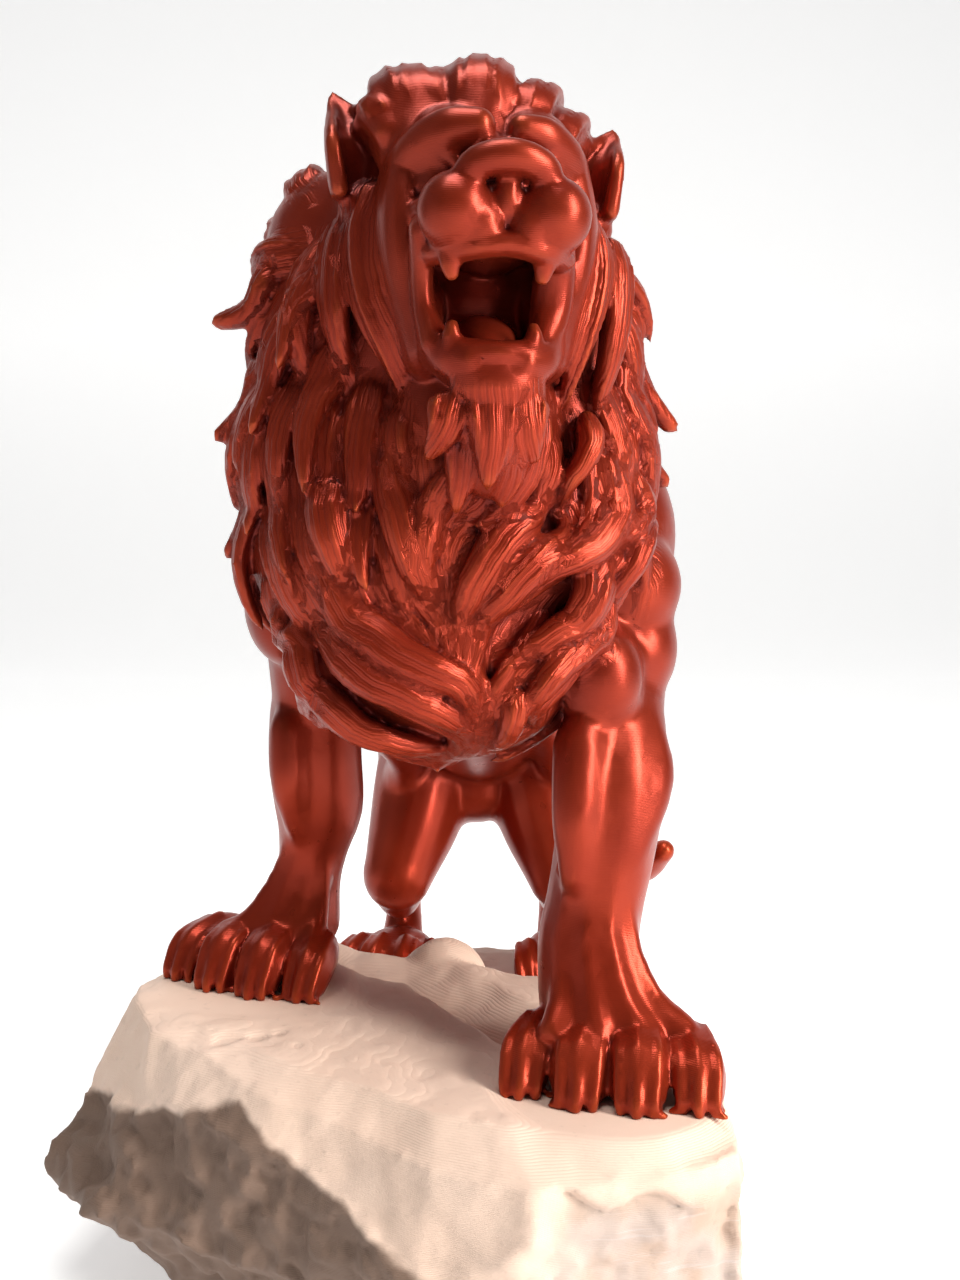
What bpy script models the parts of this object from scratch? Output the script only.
"""A roaring lion standing on a low crag, printed in plastic in two pieces.

The lion faces -Y and its left side is at +X. The origin is on the crag's flat underside,
below the lion's shoulders. Sizes are in millimetres here and become metres in each mesh.
"""

import math
import random

import bmesh
import bpy
import numpy as np
from mathutils import Euler, Matrix, Quaternion, Vector
from mathutils.bvhtree import BVHTree
from mathutils.noise import fractal

MM = 0.001

# The rock's top is nearly level under the forepaws and falls away to the hind paws.
LEFT_GROUND = 48.0
RIGHT_GROUND = 51.0
HIND_GROUND = 21.0
FOOT_GAP = 0.3
PAW_SINK = 0.8
ROCK_SEGMENTS = 64
ROCK_SIDE_RINGS = 9
ROCK_TOP_RINGS = 9
ROCK_SPINE = (-8.0, -34.0, 66.0)
BOULDER = (-3.5, 14.0, 51.6, 11.0)
VALLEY = (5.0, 7.0, 24.0)
SIDE_ROUGHNESS = 2.6
TOP_ROUGHNESS = 0.5

# The crag's outline from its front right corner round by the back: the rim of the top, the
# sharp ridge below it, the widest line of the broken side, and the flat underside.
ROCK_OUTLINE = [
    ((47, -71, 45), (48, -72, 40), (47, -72, 22), (44, -66, 0)),
    ((49, -30, 47), (51, -28, 40), (51, -24, 24), (47, -20, 0)),
    ((46, 20, 34), (49, 21, 27), (50, 22, 16), (47, 22, 0)),
    ((41, 66, 22), (45, 67, 17), (46, 68, 10), (43, 66, 0)),
    ((30, 98, 20), (32, 102, 15), (33, 104, 9), (31, 100, 0)),
    ((-28, 100, 20), (-30, 104, 15), (-31, 106, 9), (-29, 101, 0)),
    ((-50, 58, 24), (-55, 59, 19), (-58, 60, 12), (-54, 56, 0)),
    ((-65, 14, 47), (-71, 13, 37), (-74, 12, 24), (-62, 14, 0)),
    ((-67, -18, 51), (-72.6, -29, 38), (-79, -34, 22), (-62, -22, 0)),
    ((-59, -36, 50.5), (-57, -48, 40), (-65, -51, 22), (-52, -36, 0)),
    ((-47, -46, 50.5), (-45, -54.5, 44), (-49, -58, 22), (-38, -44, 0)),
    ((-34, -56, 48), (-33, -61, 41), (-34, -63, 20), (-24, -52, 0)),
    ((-18, -64, 45), (-17, -69, 33), (-17, -70, 16), (-12, -60, 0)),
    ((-3, -74, 43), (-5, -77, 24), (-5, -77, 10), (-3, -70, 0)),
    ((14, -80, 43), (14, -82, 36), (13, -81, 18), (12, -76, 0)),
    ((34, -77, 44), (35, -79, 38), (34, -78, 20), (32, -72, 0)),
]

# Each forepaw: the middle of its ankle on the ground plane, and how far it turns outwards.
LEFT_PAW = (30.4, -45.0)
LEFT_PAW_TURN = -12.0
RIGHT_PAW = (-39.0, -1.0)
RIGHT_PAW_TURN = -24.0
HIND_MIDDLE = 5.0
HIND_HALF = 23.0
HIND_PAW_Y = 78.0

# The head has its own frame: nose along -Y, crown along +Z.
HEAD_AT = (5.5, -57.0, 197.0)
HEAD_YAW = 8.0
HEAD_ROLL = 1.0
HEAD_PITCH = 3.0
EAR_TIPS = {-1: (-24.6, 8.0, 21.0), 1: (23.4, 8.0, 18.2)}

LION_VOXEL = 1.25
LION_TRIANGLES = 7000
LOCK_GROOVE = 0.55
SEED = 7

# The long locks of the chest, each as points of (x, z) seen from the front and a width.
CHEST_LOCKS = [
    ([(-9, 160), (-8, 148), (-5, 138), (-1, 131)], 9),
    ([(1, 157), (-3, 148), (-4, 139), (-1, 131)], 7),
    ([(-20, 156), (-19, 144), (-15, 133)], 10),
    ([(-22, 140), (-16, 131), (-8, 125), (1, 121), (4, 115), (3, 108)], 10),
    ([(-24, 132), (-15, 123), (-5, 118), (2, 113), (3, 107)], 9),
    ([(-26, 123), (-17, 115), (-7, 110), (4, 106)], 9),
    ([(-30, 134), (-27, 122), (-20, 113), (-11, 107)], 10),
    ([(16, 152), (8, 144), (2, 133), (3, 121)], 9),
    ([(20, 146), (12, 139), (6, 132), (3, 125)], 8),
    ([(26, 160), (27, 151), (24, 144), (16, 140), (8, 134), (4, 126)], 9),
    ([(31, 157), (31, 149), (27, 144), (19, 141)], 8),
    ([(33, 152), (31, 144), (28, 137), (24, 129)], 8),
    ([(25, 143), (22, 134), (15, 127), (7, 123)], 10),
    ([(27, 136), (23, 128), (15, 121), (9, 117)], 8),
    ([(22, 128), (16, 122), (13, 117), (15, 111)], 7),
    ([(22, 166), (22, 160), (19, 154), (18, 147)], 6),
    ([(11, 120), (9, 113), (4, 107)], 6),
]
# Tufts under the chin, and locks whose tips stand clear of the outline.
BEARD = [
    ((6.5, -75, 167), (7, -75, 160), (6, -72, 151.5), 11),
    ((1, -74, 167), (-0.5, -74, 161), (-3.5, -70, 156.5), 9),
    ((12, -73, 167), (12.5, -73.5, 161), (13.8, -70, 156), 9),
    ((3, -69, 162), (2, -69, 155), (1, -66, 148), 8),
    ((10, -69, 162), (10, -69, 155), (8, -66, 149), 8),
]
FLICKS = [
    ((-32, -44, 194), (-36, -42, 186), (-44, -40, 183.5), 9),
    ((-34, -42, 178), (-37, -40, 169), (-44, -39, 162.5), 10),
    ((-35, -40, 158), (-38, -38, 148), (-42.5, -37, 141), 10),
    ((30, -42, 182), (35, -38, 172), (42, -35, 164.5), 9),
    ((31, -42, 168), (35, -38, 160), (40.5, -35, 154.5), 8),
]

# Round tufts over the brow, from the forehead up and back over the crown: points with half sizes,
# and ridges. Then the locks from each temple past the jaw: points, width, thickness and strands.
CROWN = [
    ([(-4, -64, 207, 6.5, 5), (-5.5, -60, 213, 7.6, 6), (-6.5, -50, 217.5, 7.6, 6), (-7, -36, 214, 6, 5)], 0),
    ([(4.8, -65, 207, 5.4, 5), (4.6, -61, 214, 6, 6), (5.4, -50, 219, 6.2, 6), (6, -36, 215, 6, 5)], 0),
    ([(11, -64, 205, 3.6, 4), (13, -60, 212, 4.2, 5), (15, -50, 216, 4.4, 4.6), (15, -36, 212, 4, 4)], 2),
    ([(15, -62, 202, 3.2, 4), (18, -58, 208.5, 3.6, 4.6), (20, -50, 212, 3.8, 4), (20, -36, 209, 3.6, 4)], 2),
    ([(-8, -63, 205, 3.6, 4), (-10, -58, 211, 4.4, 5), (-12.5, -48, 213.5, 5, 5), (-14, -36, 210, 5, 5)], 1),
    ([(-9, -65, 208.5, 3.2, 2.8), (-11, -62.5, 211.5, 3.4, 3), (-13, -57, 212, 3, 3)], -1),
]
CHEEKS = [
    ([(-12, -60, 203), (-14, -61, 193), (-13, -63, 183), (-9.5, -62, 174), (-6, -56, 166)], 12, 7, 2),
    ([(-17, -55, 199), (-19, -57, 190), (-19, -58, 180), (-16, -53, 168)], 11, 7, 3),
    ([(-21, -50, 196), (-25, -52, 187), (-26, -53, 177), (-22, -48, 165)], 10, 7, 3),
    ([(22, -58, 199), (24, -60, 188), (22, -61, 177), (18, -55, 165)], 9, 7, 2),
    ([(27, -52, 196), (28, -55, 186), (27, -55, 175), (23, -49, 162)], 9, 7, 3),
]

LION_COLOUR = (0.42, 0.06, 0.03, 1.0)
ROCK_COLOUR = (0.80, 0.62, 0.46, 1.0)


def clear_scene():
    for old in list(bpy.data.objects):
        bpy.data.objects.remove(old, do_unlink=True)


def plastic(name, colour, roughness, metallic):
    """A plain printed plastic."""
    made = bpy.data.materials.new(name)
    made.use_nodes = True
    shader = made.node_tree.nodes["Principled BSDF"]
    shader.inputs["Base Color"].default_value = colour
    shader.inputs["Roughness"].default_value = roughness
    shader.inputs["Metallic"].default_value = metallic
    return made


def spline(rows, steps):
    """Rows of numbers read from a smooth curve through the given rows, steps to each span."""
    rows = np.array(rows, float)
    ends = np.vstack([2 * rows[0] - rows[1], rows, 2 * rows[-1] - rows[-2]])
    found = []
    for i in range(len(rows) - 1):
        a, b, c, d = ends[i : i + 4]
        for t in np.arange(steps) / steps:
            bent = (2 * a - 5 * b + 4 * c - d) * t**2 + (3 * b - a - 3 * c + d) * t**3
            found.append(0.5 * (2 * b + (c - a) * t + bent))
    return np.vstack([found, rows[-1]])


def unit(vectors):
    return vectors / np.maximum(np.linalg.norm(vectors, axis=-1, keepdims=True), 1e-9)


class Clay:
    """A heap of closed shapes in millimetres, which one voxel remesh later turns into one skin."""

    def __init__(self):
        self.points = []
        self.faces = []
        self.count = 0

    def add(self, points, faces):
        self.points.append(np.asarray(points, float))
        self.faces.extend([tuple(i + self.count for i in face) for face in faces])
        self.count += len(points)

    def ball(self, at, size, turn=(0, 0, 0)):
        """An egg of three half sizes, turned by degrees about X, Y and Z."""
        shape = bmesh.new()
        bmesh.ops.create_icosphere(shape, subdivisions=3, radius=1)
        points = np.array([v.co for v in shape.verts])
        faces = [[v.index for v in f.verts] for f in shape.faces]
        shape.free()
        spin = np.array(Euler([math.radians(a) for a in turn]).to_matrix())
        self.add(points * np.array(size) @ spin.T + np.array(at), faces)

    def tube(self, centres, across, outward, half_width, half_depth, ring):
        """Rings of points round the centres, closed to a point at both ends."""
        count = len(ring)
        rings = (
            centres[:, None]
            + across[:, None] * (half_width[:, None] * ring[:, 0])[..., None]
            + outward[:, None] * (half_depth[:, None] * ring[:, 1])[..., None]
        )
        points = np.vstack([rings[1:-1].reshape(-1, 3), centres[:1], centres[-1:]])
        last = len(centres) - 3
        faces = []
        for i in range(count):
            j = (i + 1) % count
            for k in range(last):
                faces.append((k * count + i, k * count + j, (k + 1) * count + j, (k + 1) * count + i))
            faces.append((len(points) - 2, j, i))
            faces.append((len(points) - 1, last * count + i, last * count + j))
        self.add(points, faces)

    def limb(self, rows, side=(1, 0, 0), steps=5, sides=16):
        """A round-ended bar through rows of (x, y, z, half width, half depth)."""
        rows = spline(rows, steps)
        line = rows[:, :3]
        along = unit(np.gradient(line, axis=0))
        dome = np.sin(np.radians([90, 65, 40, 18]))
        head = [line[0] - along[0] * min(rows[0, 3:]) * s for s in dome]
        tail = [line[-1] + along[-1] * min(rows[-1, 3:]) * s for s in dome[::-1]]
        centres = np.vstack([head, line, tail])
        shrink = np.sqrt(1 - dome**2)
        scale = np.concatenate([shrink, np.ones(len(line)), shrink[::-1]])
        sizes = np.vstack([[rows[0, 3:]] * 4, rows[:, 3:], [rows[-1, 3:]] * 4]) * scale[:, None]
        along = np.vstack([[along[0]] * 4, along, [along[-1]] * 4])
        across = unit(np.array(side, float) - along * (along @ np.array(side, float))[:, None])
        angle = np.arange(sides) / sides * math.tau
        ring = np.stack([np.cos(angle), np.sin(angle)], axis=1)
        self.tube(centres, across, np.cross(along, across), sizes[:, 0], sizes[:, 1], ring)

    def lock(self, line, normals, width, thick, strands=3, sides=12):
        """A flat tapering lock of hair along a line, grooved between its strands."""
        t = np.linspace(0, 1, len(line))
        shape = np.minimum(1, (t / 0.22) ** 0.6) * (1 - t) ** 0.62
        along = unit(np.gradient(line, axis=0))
        across = unit(np.cross(along, normals))
        outward = np.cross(across, along)
        angle = np.arange(sides) / sides * math.tau
        strand = 0.5 - 0.5 * np.cos(np.cos(angle) * math.pi * strands)
        groove = 1 - LOCK_GROOVE * strand * (np.sin(angle) > 0)
        ring = np.stack([np.cos(angle), np.sin(angle) * groove], axis=1)
        self.tube(line, across, outward, width / 2 * shape, thick / 2 * (0.35 + 0.65 * shape), ring)

    def move(self, matrix, start):
        """Carries the shapes added since start into another frame."""
        spin = np.array(matrix)[:3, :3]
        shift = np.array(matrix)[:3, 3]
        for i in range(start, len(self.points)):
            self.points[i] = self.points[i] @ spin.T + shift

    def mesh(self, name):
        made = bpy.data.meshes.new(name)
        made.from_pydata((np.vstack(self.points) * MM).tolist(), [], self.faces)
        made.update()
        return made


def skinned(name, mesh, voxel, smooth, rounds):
    """An object whose modifiers press the mesh's shapes into one skin and soften the joins."""
    made = bpy.data.objects.new(name, mesh)
    bpy.context.scene.collection.objects.link(made)
    skin = made.modifiers.new("One skin", "REMESH")
    skin.mode = "VOXEL"
    skin.voxel_size = voxel * MM
    if rounds:
        soften = made.modifiers.new("Soften", "SMOOTH")
        soften.factor = smooth
        soften.iterations = rounds
    return made


def evaluated(obj):
    bpy.context.view_layer.update()
    graph = bpy.context.evaluated_depsgraph_get()
    return bpy.data.meshes.new_from_object(obj.evaluated_get(graph))


def points_of(mesh):
    found = np.empty(len(mesh.vertices) * 3)
    mesh.vertices.foreach_get("co", found)
    return found.reshape(-1, 3) / MM


def faces_of(mesh):
    return [tuple(p.vertices) for p in mesh.polygons]


def head_frame():
    turn = Euler([math.radians(a) for a in (HEAD_PITCH, HEAD_ROLL, HEAD_YAW)])
    return Matrix.Translation(HEAD_AT) @ turn.to_matrix().to_4x4()


def add_trunk(clay):
    """Chest, barrel, loin and rump, higher in front because the forepaws stand on the crag."""
    clay.limb(
        [
            (0, -22, 142, 26, 30),
            (0, -6, 140, 31, 36),
            (2, 20, 125, 28, 31),
            (4, 46, 110, 22, 25),
            (HIND_MIDDLE, 66, 102, 20, 23),
            (HIND_MIDDLE, 82, 96, 22, 25),
        ]
    )
    clay.ball((2, 20, 121), (31, 27, 27), (-25, 0, 0))
    clay.limb([(0, 8, 158, 5, 4), (3, 42, 133, 4, 4), (HIND_MIDDLE, 78, 120, 5, 4)])
    clay.ball((HIND_MIDDLE, 90, 94), (21, 19, 22))
    clay.ball((HIND_MIDDLE - 1, 74, 78), (13, 16, 12))
    for side in (-1, 1):
        clay.ball((side * 15, -6, 160), (19, 20, 26), (15, 0, 0))
        clay.ball((side * 20, 6, 136), (13, 26, 22), (20, 0, 0))
        clay.ball((HIND_MIDDLE + side * 12, 74, 108), (9, 14, 9), (-20, 0, 0))
        flank = HIND_MIDDLE + side * 20
        clay.limb([(side * 22, 26, 102, 5, 5), (flank, 50, 90, 5, 6), (flank + side * 2, 64, 78, 6, 8)])


def add_left_foreleg(clay):
    """The leg that bears the weight: deltoid, biceps and triceps swell above a thick forearm."""
    clay.ball((31, -20, 143), (13, 16, 20), (10, 8, 0))
    clay.ball((32.5, -31, 136), (11.2, 12, 11.5), (0, 12, 0))
    clay.ball((26.5, -42, 120), (8.6, 8.5, 10.5), (0, -6, 0))
    clay.ball((35.5, -28, 124), (8.0, 12, 11))
    clay.limb([(31, -20, 136, 10, 14), (31, -26, 118, 10.5, 15), (31, -32, 110, 9.5, 12)])
    clay.limb(
        [
            (30.5, -34, 109, 10.2, 11),
            (29.6, -38, 100, 10.6, 12),
            (28.4, -40, 88, 9.6, 11),
            (26.4, -41, 77, 9.2, 9.4),
            (25.2, -42, 70, 9.6, 9.6),
            (25.4, -44, 60, 9.8, 10),
        ]
    )
    clay.limb([(35, -38, 110, 4.5, 5), (36.5, -42, 100, 4.4, 5), (32, -47, 88, 3.2, 3.4)])
    clay.limb([(23, -46, 108, 5, 5), (22, -49, 96, 4.4, 4.4), (22, -49, 84, 3, 3)])
    for toe in (-1.5, -0.5, 0.5, 1.5):
        back = toe * toe
        tendon = [
            (28.5 + toe * 2.6, -49.6 + back * 0.8, 92, 1.4, 1.6),
            (26 + toe * 4.0, -50.3 + back * 1.2, 76, 1.5, 1.8),
            (27.5 + toe * 5.2, -53.6 + back * 1.4, 64, 2.2, 2.4),
            (29.5 + toe * 7.6, -56.5 + back * 0.8, 58, 3.2, 3),
        ]
        clay.limb(tendon)


def add_right_foreleg(clay):
    """The leg that is set back: slimmer, with its wrist narrow and its paw turned out."""
    clay.ball((-31, -12, 142), (13, 17, 21), (10, -8, 0))
    clay.ball((-33, -20, 132), (9.5, 12, 13))
    clay.limb([(-30, -10, 136, 11, 15), (-30, -4, 118, 10.5, 14), (-30.5, 0, 108, 10, 12)])
    clay.limb(
        [
            (-31, -2, 108, 10, 11.5),
            (-31, -3, 98, 10.2, 11.5),
            (-30.4, -2, 87, 9.8, 10.5),
            (-31.8, -1, 78, 7.8, 8.2),
            (-33.2, 0, 70, 7.2, 8),
            (-34.5, 0, 61, 8.4, 9),
        ]
    )
    clay.limb([(-35, -12, 106, 4.4, 5), (-35, -13, 95, 4.2, 4.6), (-34, -10, 84, 2.6, 3)])
    for toe in (-1.5, -0.5, 0.5, 1.5):
        back = toe * toe
        tendon = [
            (-30.5 + toe * 2.2, -11.6 + back * 0.8, 90, 1.3, 1.5),
            (-33 + toe * 3.2, -8.8 + back * 0.9, 76, 1.4, 1.6),
            (-37 + toe * 5.0, -9.6 + back * 0.6 - toe, 64, 2.2, 2.4),
            (-40.5 + toe * 6.8, -11 - toe * 2, 60, 3, 3),
        ]
        clay.limb(tendon)


def add_hind_leg(clay, side):
    """Thigh, gaskin, hock and the long foot below it."""
    middle = HIND_MIDDLE
    x = middle + side * HIND_HALF
    clay.ball((middle + side * 16, 82, 86), (14, 23, 26), (-20, 0, 0))
    clay.limb(
        [
            (middle + side * 15, 80, 92, 13, 20),
            (middle + side * 17, 68, 73, 13.5, 18),
            (middle + side * 22.5, 57, 55, 9.6, 11),
        ]
    )
    clay.limb(
        [
            (middle + side * 22.5, 57, 56, 9.6, 9.6),
            (x, 73, 48, 7.0, 10),
            (x, 93, 43, 5.4, 6.5),
        ]
    )
    clay.limb(
        [
            (x, 94, 46, 5.2, 6),
            (x, 90, 35, 5.4, 5.6),
            (x, 82, 27, 6.6, 5.6),
        ]
    )


def add_paw(clay, at, ground, turn, size):
    """The ball of the foot and four blunt toes, each arched over a knuckle and folded lengthways."""
    frame = Matrix.Translation((at[0], at[1], ground - PAW_SINK))
    frame = frame @ Matrix.Rotation(math.radians(turn), 4, "Z")
    start = len(clay.points)
    clay.ball((0, -2, 7.0), (13 * size, 11 * size, 7))
    clay.ball((0, 4, 5.0), (10 * size, 9 * size, 6.5))
    for toe in (-1.5, -0.5, 0.5, 1.5):
        outer = abs(toe) > 1
        x = toe * 9.9 * size
        reach = (-14.5 if outer else -17.0) * size
        high = 6.8 if outer else 8.0
        wide = (4.5 if outer else 5.0) * size
        clay.limb(
            [
                (x * 0.55, -1 * size, high, wide * 0.8, 4.0),
                (x * 0.86, reach + 9 * size, high + 0.8, wide, 4.8),
                (x * 1.0, reach + 3.2 * size, high - 0.8, wide * 1.06, 4.8),
                (x * 1.02, reach + 0.6, 3.4, wide, 3.6),
            ],
            steps=3,
            sides=14,
        )
        for lean in (-0.62, 0, 0.62):
            middle = 1 - abs(lean)
            fold = [
                (x * 0.86 + lean * 4.6, reach + 9 * size, high + 3.4 + middle * 1.6, 1.2, 1.1),
                (x * 1.0 + lean * 5.0, reach + 1.6 * size, high + 1.4 + middle * 1.4, 1.3, 1.2),
                (x * 1.02 + lean * 4.6, reach - 2.0 - middle * 1.2, 3.6, 1.2, 1.0),
                (x * 1.03 + lean * 4.4, reach - 2.2 - middle * 1.4, 1.2, 1.0, 0.9),
            ]
            clay.limb(fold, steps=3, sides=8)
    clay.move(frame, start)


def add_head(clay):
    """Skull, nose, muzzle, open jaws and cheeks, in the head's own frame."""
    start = len(clay.points)
    clay.ball((0, 8, 4), (16.5, 19, 15))
    clay.ball((0, -2, 2.5), (11.5, 11.5, 8))
    clay.limb([(0, -4, -1.5, 9.5, 8), (0, -14, -3.2, 8, 6.2), (0, -20.5, -4.4, 7, 4.4)], steps=3)
    clay.ball((0, -20.6, -4.4), (5.4, 4.8, 5.6))
    clay.ball((0, -25.0, -2.4), (2.1, 2.6, 3.8))
    clay.limb([(0, -3, 8.4, 4.0, 4.4), (0, -14, 6.0, 3.9, 3.4), (0, -22, 3.2, 4.6, 2.6)], steps=3)
    arch = [(-6.2, -24.8, -0.6), (-4.6, -26.9, 1.5), (0, -28.4, 2.4), (4.6, -26.9, 1.5), (6.2, -24.8, -0.6)]
    clay.limb([(*point, 2.5, 2.5) for point in arch], side=(0, 0, 1), steps=4, sides=12)
    lip = [(-9.6, -18.6, -9.6), (-5.4, -24.4, -9.8), (0, -25.6, -9.2), (5.4, -24.4, -9.8), (9.6, -18.6, -9.6)]
    clay.limb([(*point, 1.7, 2.4) for point in lip], side=(0, 0, 1), steps=4, sides=12)
    for side in (-1, 1):
        add_face_side(clay, side)
        add_jaw_side(clay, side)
        add_ear(clay, side)
    add_jaw_middle(clay)
    clay.move(head_frame(), start)


def add_face_side(clay, side):
    """The round whisker pad, brow, eye with its lids, cheek and upper canine of one side."""
    clay.ball((side * 7.2, -23.4, -4.4), (5.8, 6.0, 5.7))
    clay.ball((side * 3.7, -24.6, -6.4), (3.5, 3.8, 4.0))
    brow = 3.5 if side < 0 else 2.9
    clay.limb(
        [
            (side * 3.4, -16.6, 9.6, brow * 0.82, brow * 0.85),
            (side * 7.6, -14.8, 9.2, brow, brow * 0.95),
            (side * 12.2, -10, 7.4, brow * 0.95, brow * 0.9),
            (side * 15.2, -3, 4.4, brow * 0.72, brow * 0.75),
        ],
        side=(0, 0, 1),
        steps=4,
    )
    clay.ball((side * 6.5, -6, 10.5), (6.5, 8, 5))
    clay.ball((side * 8.4, -11.6, 4.0), (2.9, 2.8, 2.7))
    lids = [
        [(4.8, -15.6, 3.4), (8.4, -14.8, 6.0), (12.4, -10.6, 4.4)],
        [(4.8, -15.6, 2.8), (8.6, -14.2, 1.4), (12.2, -10.2, 2.8)],
    ]
    for lid in lids:
        clay.limb([(side * x, y, z, 1.1, 1.1) for x, y, z in lid], side=(0, 0, 1), steps=4, sides=8)
    clay.ball((side * 9.4, -12.4, -2.4), (4.0, 5.6, 2.8))
    clay.limb(
        [
            (side * 12.8, -2, 6.5, 4.2, 8),
            (side * 13.8, -4, -3, 4.4, 9),
            (side * 12.6, -4.5, -13, 4.2, 8.5),
            (side * 9.8, -8, -23, 3.6, 6),
        ],
        steps=4,
    )
    inner, shift = (1.9, -0.8) if side < 0 else (3.3, -1.0)
    clay.limb(
        [
            (side * 10.4 + shift, -17.6, -6, 2.5, 3),
            (side * 10.5 + shift, -14.4, -11, inner, 3.4),
            (side * 10.0 + shift, -13.8, -17, inner, 3.0),
            (side * 8.4 + shift, -16.2, -22.4, 2.4, 2.8),
        ],
        steps=4,
        sides=12,
    )
    fang = [
        (side * 7.0 - 0.8, -22.4, -9.6, 1.9, 1.9),
        (side * 7.0 - 0.8, -22.8, -11.6, 1.7, 1.7),
        (side * 6.8 - 0.8, -22.8, -13.0, 1.2, 1.2),
    ]
    clay.limb(fang, steps=3, sides=10)


def add_jaw_side(clay, side):
    """One branch of the lower jaw with its canine."""
    clay.limb(
        [
            (side * 10.4, 0, -14, 4.4, 5.5),
            (side * 9.8, -10, -20.5, 2.8, 4.6),
            (side * 7.6, -17.2, -24.2, 2.5, 3.4),
            (side * 4.0, -20.6, -25.2, 2.5, 3.2),
        ],
        steps=4,
        sides=12,
    )
    fang = [
        (side * 6.0 - 0.8, -19.2, -23.4, 1.7, 1.7),
        (side * 6.3 - 0.8, -20.0, -21.4, 1.5, 1.5),
        (side * 6.2 - 0.8, -19.8, -20.0, 1.0, 1.0),
    ]
    clay.limb(fang, steps=3, sides=10)


def add_jaw_middle(clay):
    """Lower lip, chin, mouth floor and tongue."""
    lip = [(-5, -20, -23.8), (0, -21.4, -24.2), (5, -20, -23.8)]
    clay.limb([(*point, 2.1, 2.3) for point in lip], side=(0, 0, 1), steps=3)
    clay.ball((0, -18.6, -28), (7.2, 4.8, 4.6))
    clay.limb([(1, -17.4, -29, 7.2, 4.6), (1.4, -16, -36, 6.8, 4.8), (1, -12, -42, 4.8, 4)], steps=3)
    clay.ball((0, -9, -24.5), (9.4, 12, 3.6), (24, 0, 0))
    clay.ball((-0.6, -11, -20.0), (4.8, 8.4, 2.5), (22, 0, 0))
    clay.ball((0, 6, -13), (10.5, 9, 10))


def add_ear(clay, side):
    """An upright cupped ear: a rim of skin round a hollow that faces forwards, pointed at the top."""
    root = Vector((-18.6, 1.5, 8.5)) if side < 0 else Vector((18.2, 3.5, 8.0))
    reach = 6.6 if side < 0 else 4.8
    tip = Vector(EAR_TIPS[side])
    for step in range(-6, 7):
        sweep = math.radians(step * 17 + side * 6)
        across, back = math.sin(sweep), math.cos(sweep)
        foot = root + Vector((reach * 0.8 * across, 4.4 * back - 1, -5))
        bulge = root + Vector((reach * across, 4.6 * back - 1.5, 4.0 - abs(step) * 0.25))
        top = root.lerp(tip, 1 - abs(step) * 0.04) + Vector((1.6 * across, 0.8 * back, 0))
        clay.limb([(*foot, 1.6, 1.4), (*bulge, 1.2, 1.0), (*top, 0.7, 0.6)], steps=4, sides=8)
    clay.ball(root + Vector((-side, 3, -7)), (6.4, 5.6, 5.0))


def add_tail(clay):
    """The tail hangs behind the rump and swings out to the lion's left."""
    rows = [
        (5, 102, 100, 5.2, 5.2),
        (7, 117, 94, 4.2, 4.2),
        (12, 126, 76, 3.4, 3.4),
        (30, 122, 54, 3.2, 3.2),
        (46, 106, 46, 3.4, 3.4),
    ]
    clay.limb(rows, steps=5, sides=12)
    clay.limb([(44, 108, 46, 4, 4), (53, 94, 48, 6.5, 6), (59, 80, 56, 3.4, 3.4)], steps=4, sides=12)


def add_mane_core(clay):
    """The thick mass of the mane under its locks: crown, neck, ruff and chest."""
    clay.limb(
        [
            (3, -46, 203, 22, 17),
            (0, -34, 190, 32, 27),
            (-1, -14, 170, 35, 33),
            (0, 4, 158, 29, 27),
        ]
    )
    clay.ball((-1, -38, 180), (34.5, 21, 26))
    clay.ball((-19, -36, 197), (15.5, 14, 15))
    clay.ball((-1.5, -37, 160), (37, 22, 26))
    clay.ball((-2, -37, 142), (36, 22, 23))
    clay.ball((-1, -41, 125), (26, 17, 18))
    clay.ball((4, -55, 164), (15, 11, 16))


def largest_body(mesh):
    """Drops what a remesh leaves loose, such as the wall of a pocket closed in on all sides."""
    shape = bmesh.new()
    shape.from_mesh(mesh)
    waiting = set(shape.verts)
    bodies = []
    while waiting:
        seed = waiting.pop()
        body, edge = [seed], [seed]
        while edge:
            vert = edge.pop()
            for link in vert.link_edges:
                other = link.other_vert(vert)
                if other in waiting:
                    waiting.remove(other)
                    body.append(other)
                    edge.append(other)
        bodies.append(body)
    bodies.sort(key=len)
    loose = [vert for body in bodies[:-1] for vert in body]
    bmesh.ops.delete(shape, geom=loose, context="VERTS")
    shape.to_mesh(mesh)
    shape.free()
    return mesh


def one_skin(name, mesh, voxel, rounds):
    """The finished skin of a mesh of closed shapes."""
    raw = skinned(name, mesh, voxel, 0.5, rounds)
    skin = evaluated(raw)
    bpy.data.objects.remove(raw, do_unlink=True)
    return largest_body(skin)


def tree_of(mesh):
    return BVHTree.FromPolygons([Vector(p) for p in points_of(mesh)], faces_of(mesh))


FACE_CENTRE = Vector((6.0, -84.0, 190.0))


def chest_guides():
    """Where the chest's long locks lie, seen from the front, and which way each runs there."""
    places, ways = [], []
    for ends, _ in CHEST_LOCKS:
        line = spline(ends, 5)
        places.append(line)
        ways.append(unit(np.gradient(line, axis=0)))
    return np.vstack(places), np.vstack(ways)


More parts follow.
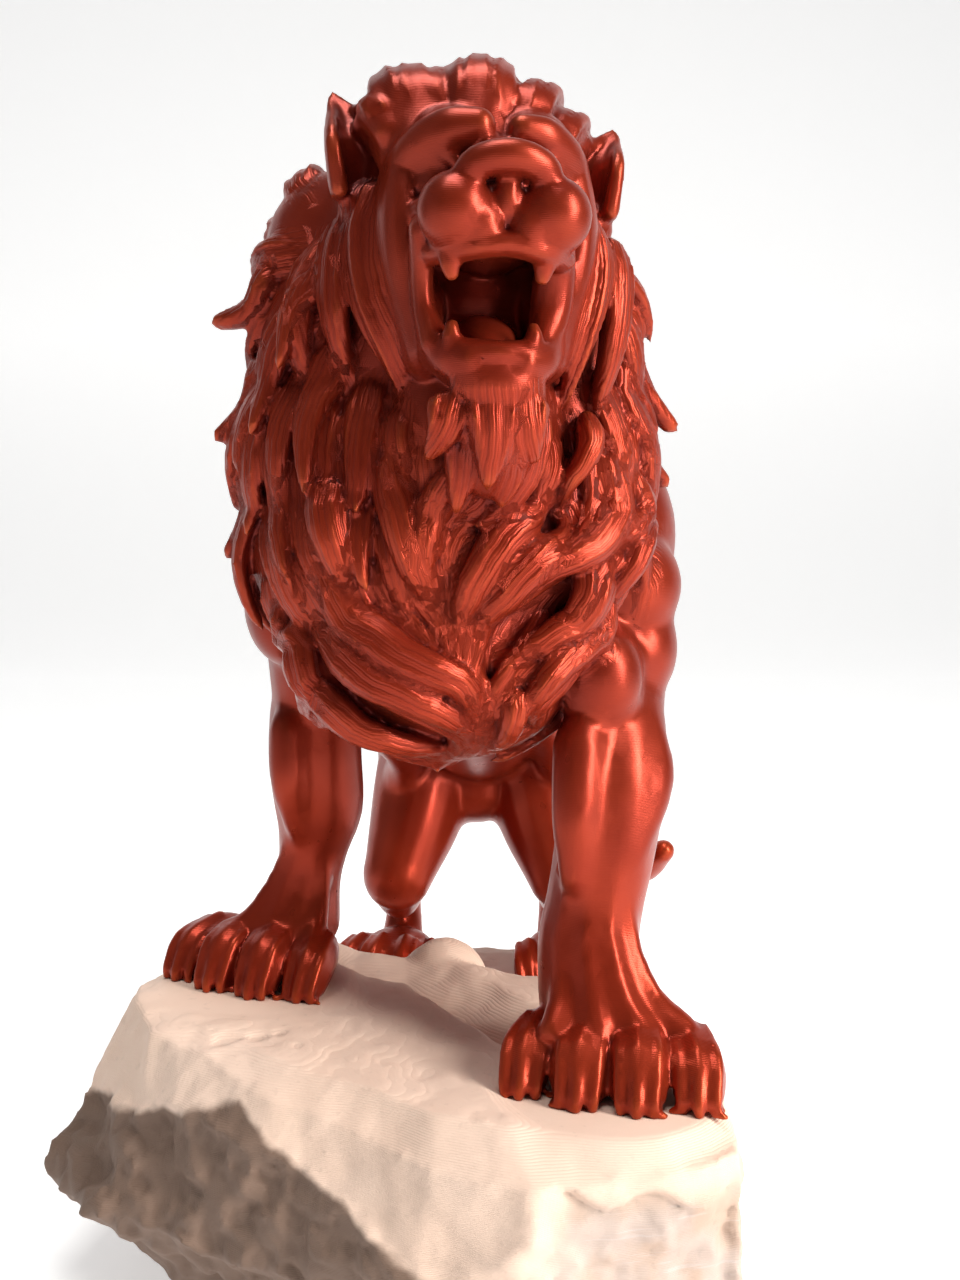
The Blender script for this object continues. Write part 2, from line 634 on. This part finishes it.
def hair_flow(point, guides):
    """Which way the mane lies at a point: away from the face, then down, and with the chest's locks."""
    away = (point - FACE_CENTRE).normalized()
    fall = max(0.0, min(1.0, (206 - point.z) / 34))
    back = max(0.0, min(1.0, (point.y + 40) / 30))
    flow = away * (1.15 - 0.75 * fall) + Vector((0, 0.7 * back, -1.25 * fall))
    places, ways = guides
    apart = ((places - (point.x, point.z)) ** 2).sum(axis=1)
    x, z = (ways / (apart + 9)[:, None] ** 2).sum(axis=0)
    on_chest = max(0.0, min(1.0, (168 - point.z) / 14)) * max(0.0, min(1.0, (-40 - point.y) / 8))
    return flow.normalized().lerp(Vector((x, 0, z)).normalized(), on_chest)


def grown(tree, guides, root, length, curl, lift, steps=11):
    """The line of a lock that creeps over the mane from a root, and the outward way at each point."""
    point = Vector(root)
    line, normals = [], []
    for i in range(steps + 1):
        t = i / steps
        near, normal, _, _ = tree.find_nearest(point)
        height = -1.2 + 3.2 * math.sin(math.pi * min(1, t * 1.15) * 0.62) + lift * t**3
        line.append(near + normal * height)
        normals.append(normal)
        flow = hair_flow(near, guides)
        flow = (flow - normal * flow.dot(normal)).normalized()
        flow = Quaternion(normal, curl * math.sin(math.tau * (t + 0.08))) @ flow
        point = near + flow * (length / steps)
    return np.array(line), np.array(normals)


def in_face(point):
    """True where the face shows, so that no lock starts there."""
    local = head_frame().inverted() @ point
    near_ear = min((local - Vector((side * 21.5, 6, 11))).length for side in (-1, 1)) < 10.5
    return near_ear or (local.y < 3 and abs(local.x) < 17 and -28 < local.z < 12)


def mane_roots(tree, count):
    """Points spread evenly over the mane, found by rays from its middle."""
    middle = Vector((0, -24, 168))
    golden = math.pi * (3 - math.sqrt(5))
    for i in range(count):
        z = 1 - 2 * (i + 0.5) / count
        r = math.sqrt(1 - z * z)
        way = Vector((r * math.cos(i * golden), r * math.sin(i * golden), z))
        hit, _, _, _ = tree.ray_cast(middle + way * 150, -way)
        if hit and not in_face(hit) and hit.y < 16 and (hit.z > 112 or hit.y < -30):
            yield hit


def add_mane(clay, tree, count, sides):
    """Overlapping locks over the whole mane, shorter near the face and long on the chest."""
    chance = random.Random(SEED)
    guides = chest_guides()
    for root in mane_roots(tree, count):
        away = (root - FACE_CENTRE).length
        length = 17 + 0.24 * min(away, 80) + chance.uniform(-2, 4)
        width = 7.8 + 0.04 * min(away, 80) + chance.uniform(-0.8, 1.2)
        wave = math.sin(root.z * 0.09 + root.x * 0.05) + 0.6 * math.sin(root.y * 0.12 + root.x * 0.07)
        on_chest = root.z < 156 and root.y < -44
        curl = 0 if on_chest else 0.4 * wave + chance.uniform(-0.1, 0.1)
        lift = 0 if on_chest else chance.uniform(0.5, 4.0)
        line, normals = grown(tree, guides, root, length, curl, lift)
        clay.lock(line, normals, width, 5.0, sides=sides)


def laid(tree, ends, raised):
    """A lock's line laid on the mane from points seen from the front, and the outward ways along it."""
    rows = spline([(x, z) for x, z in ends], 5)
    line, normals = [], []
    for i, (x, z) in enumerate(rows):
        hit, normal, _, _ = tree.ray_cast(Vector((x, -160, z)), Vector((0, 1, 0)))
        if hit is None:
            hit, normal, _, _ = tree.find_nearest(Vector((x, -50, z)))
        normal = (normal + Vector((0, -0.6, 0))).normalized()
        t = i / (len(rows) - 1)
        line.append(hit + normal * (raised * math.sin(math.pi * min(1, 0.12 + t)) + 0.8 * t - 0.5))
        normals.append(normal)
    return np.array(line), np.array(normals)


def add_long_locks(clay, tree, sides):
    """The chest's long S-shaped locks, the beard, and the tips that stand clear of the outline."""
    for ends, width in CHEST_LOCKS:
        line, normals = laid(tree, ends, 4.8)
        clay.lock(line, normals, width, 7.0, strands=4, sides=sides)
    for root, bend, tip, width in BEARD:
        line = spline([root, bend, tip], 6)
        clay.lock(line, np.tile((0.1, -1.0, 0.0), (len(line), 1)), width, 6.5, sides=sides)
    for root, bend, tip, width in FLICKS:
        line = spline([root, bend, tip], 6)
        normals = []
        for point in line:
            normals.append(tree.find_nearest(Vector(point))[1])
        clay.lock(line, np.array(normals), width, 7.0, sides=sides)
    for rows, ridges in CROWN:
        clay.limb(rows, steps=4, sides=sides)
        for ridge in range(ridges + 1):
            share = (ridge + 0.5) / (ridges + 1) * 2 - 1
            rise = math.sqrt(1 - share * share * 0.8)
            line = []
            for x, y, z, half, deep in rows:
                line.append((x + half * share, y - deep * rise * 0.5, z + deep * rise * 0.72, 1.4, 1.3))
            clay.limb(line, steps=4, sides=8)
    for line, width, thick, strands in CHEEKS:
        line = spline(line, 5)
        normals = [unit(np.array((0.9 * (-1 if p[0] < 6 else 1), -1.0, 0.0))) for p in line]
        clay.lock(line, np.array(normals), width, thick, strands=strands, sides=sides)


def add_lion(clay, sides=8):
    """All of the lion's shapes, as they stand before they become one skin."""
    body = Clay()
    add_trunk(body)
    add_left_foreleg(body)
    add_right_foreleg(body)
    for side in (-1, 1):
        add_hind_leg(body, side)
    add_tail(body)
    soft = one_skin("soft_body", body.mesh("body"), 1.4, 4)
    core = Clay()
    add_mane_core(core)
    core_mesh = one_skin("mane_core", core.mesh("mane_core"), 1.6, 6)
    clay.add(points_of(soft), faces_of(soft))
    clay.add(points_of(core_mesh), faces_of(core_mesh))
    add_head(clay)
    add_paw(clay, LEFT_PAW, LEFT_GROUND, LEFT_PAW_TURN, 1.0)
    add_paw(clay, RIGHT_PAW, RIGHT_GROUND, RIGHT_PAW_TURN, 1.0)
    for side in (-1, 1):
        add_paw(clay, (HIND_MIDDLE + side * HIND_HALF, HIND_PAW_Y), HIND_GROUND, side * 14, 0.82)
    tree = tree_of(core_mesh)
    add_mane(clay, tree, 270, sides)
    add_long_locks(clay, tree, sides)


def top_height(x, y):
    """The height of the crag's top: a shelf, a valley and a boulder behind it, and a slope to the back."""
    shelf = 49.3 - 0.048 * x
    deep, steep, reach = VALLEY
    crest = -9 - 0.47 * (x + 12) - 0.95 * max(0.0, x + 12)
    behind = min(1.0, max(0.0, (y - crest) / steep))
    beyond = min(1.0, max(0.0, (y - crest - steep) / reach))
    right = min(1.0, max(0.0, (x + 34) / 10))
    shelf -= deep * right * behind * behind * (3 - 2 * behind) * (1 - beyond)
    fall = min(1.0, max(0.0, (y - 4.5 + 0.41 * x) / 34))
    fall = fall * fall * (3 - 2 * fall)
    slope = shelf + (HIND_GROUND - shelf) * fall
    boulder_x, boulder_y, boulder_top, boulder_half = BOULDER
    near = 1 - ((x - boulder_x) ** 2 + (y - boulder_y) ** 2) / boulder_half**2
    if near <= 0:
        return slope
    return max(slope, boulder_top - 12 * (1 - math.sqrt(near)))


def paw_pads():
    """Centre, ground height and reach of the level ground under each paw."""
    pads = [
        (LEFT_PAW[0] - 2, LEFT_PAW[1] - 9, LEFT_GROUND, 23),
        (RIGHT_PAW[0] - 4, RIGHT_PAW[1] - 10, RIGHT_GROUND, 23),
    ]
    for side in (-1, 1):
        pads.append((HIND_MIDDLE + side * HIND_HALF, HIND_PAW_Y - 6, HIND_GROUND, 21))
    return pads


def rock_side(share, level):
    """A point of the crag's side: level 0 is the underside, 1 the widest line, 2 the ridge, 3 the rim."""
    place = share * len(ROCK_OUTLINE)
    i = int(place)
    here = np.array(ROCK_OUTLINE[i], float)
    following = np.array(ROCK_OUTLINE[(i + 1) % len(ROCK_OUTLINE)], float)
    lines = (here + (following - here) * (place - i))[::-1]
    k = min(2, int(level))
    return Vector(lines[k] + (lines[k + 1] - lines[k]) * (level - k))


def rock_top(rim, inward):
    """A point of the crag's top, moved from the rim towards the line down its middle."""
    middle_x, front_y, back_y = ROCK_SPINE
    middle_y = min(back_y, max(front_y, rim.y))
    x = rim.x + (middle_x - rim.x) * inward
    y = rim.y + (middle_y - rim.y) * inward
    edge = max(0.0, 1 - inward * 5)
    return Vector((x, y, top_height(x, y) * (1 - edge) + rim.z * edge))


def roughened(point, amount):
    """A point pushed about by broken stone's own unevenness."""
    where = point * 0.045
    push = [fractal(where + Vector((axis * 31.7, 0, 0)), 0.7, 2.1, 5) for axis in range(3)]
    return point + Vector(push) * amount


def levelled(point):
    """A point of the top, held to the level ground of the paw that stands over it."""
    for x, y, ground, reach in paw_pads():
        near = math.hypot(point.x - x, point.y - y)
        if near < reach:
            hold = min(1.0, (reach - near) / 4)
            point.z = point.z * (1 - hold) + ground * hold
    return point


def rock_clay():
    """The crag as rings of points: up its sides, then inwards over its top."""
    count = ROCK_SEGMENTS
    rings = [[rock_side(k / count, 0) for k in range(count)]]
    for ring in range(1, ROCK_SIDE_RINGS + 1):
        level = 3 * ring / ROCK_SIDE_RINGS
        rings.append([roughened(rock_side(k / count, level), SIDE_ROUGHNESS) for k in range(count)])
    rim = [rock_side(k / count, 3) for k in range(count)]
    for ring in range(1, ROCK_TOP_RINGS):
        row = [roughened(rock_top(point, ring / ROCK_TOP_RINGS), TOP_ROUGHNESS) for point in rim]
        rings.append([levelled(point) for point in row])
    faces = []
    for low in range(0, (len(rings) - 1) * count, count):
        for k in range(count):
            j = (k + 1) % count
            faces.append((low + k, low + j, low + count + j, low + count + k))
    last = (len(rings) - 1) * count
    faces.append(tuple(range(last, last + count)))
    faces.append(tuple(range(count - 1, -1, -1)))
    clay = Clay()
    clay.add([tuple(point) for row in rings for point in row], faces)
    return clay


def thinned(name, mesh, triangles):
    """The skin thinned to about this many triangles, as a modifier that stays on the object."""
    made = bpy.data.objects.new(name, mesh)
    bpy.context.scene.collection.objects.link(made)
    thin = made.modifiers.new("Thin out", "DECIMATE")
    thin.ratio = triangles / (2 * len(mesh.polygons))
    return made


def in_triangles(mesh):
    """The mesh with each face split, so that it bends the same way wherever it is used."""
    shape = bmesh.new()
    shape.from_mesh(mesh)
    bmesh.ops.triangulate(shape, faces=shape.faces)
    shape.to_mesh(mesh)
    shape.free()
    return mesh


def raised_copy(rock):
    """The crag lifted by the gap that parts the two prints, to cut the soles to fit it."""
    made = bpy.data.objects.new("sole_cutter", rock.data)
    bpy.context.scene.collection.objects.link(made)
    made.location.z = FOOT_GAP * MM
    made.hide_render = True
    made.display_type = "WIRE"
    return made


def main():
    clear_scene()
    rock = bpy.data.objects.new("rock_base", in_triangles(rock_clay().mesh("rock_base")))
    bpy.context.scene.collection.objects.link(rock)
    clay = Clay()
    add_lion(clay)
    skin = one_skin("lion_skin", clay.mesh("clay"), LION_VOXEL, 1)
    lion = thinned("lion", skin, LION_TRIANGLES)
    soles = lion.modifiers.new("Soles", "BOOLEAN")
    soles.operation = "DIFFERENCE"
    soles.solver = "EXACT"
    soles.object = raised_copy(rock)
    lion.data.materials.append(plastic("copper_red_plastic", LION_COLOUR, 0.35, 0.3))
    rock.data.materials.append(plastic("cream_plastic", ROCK_COLOUR, 0.6, 0.0))



main()
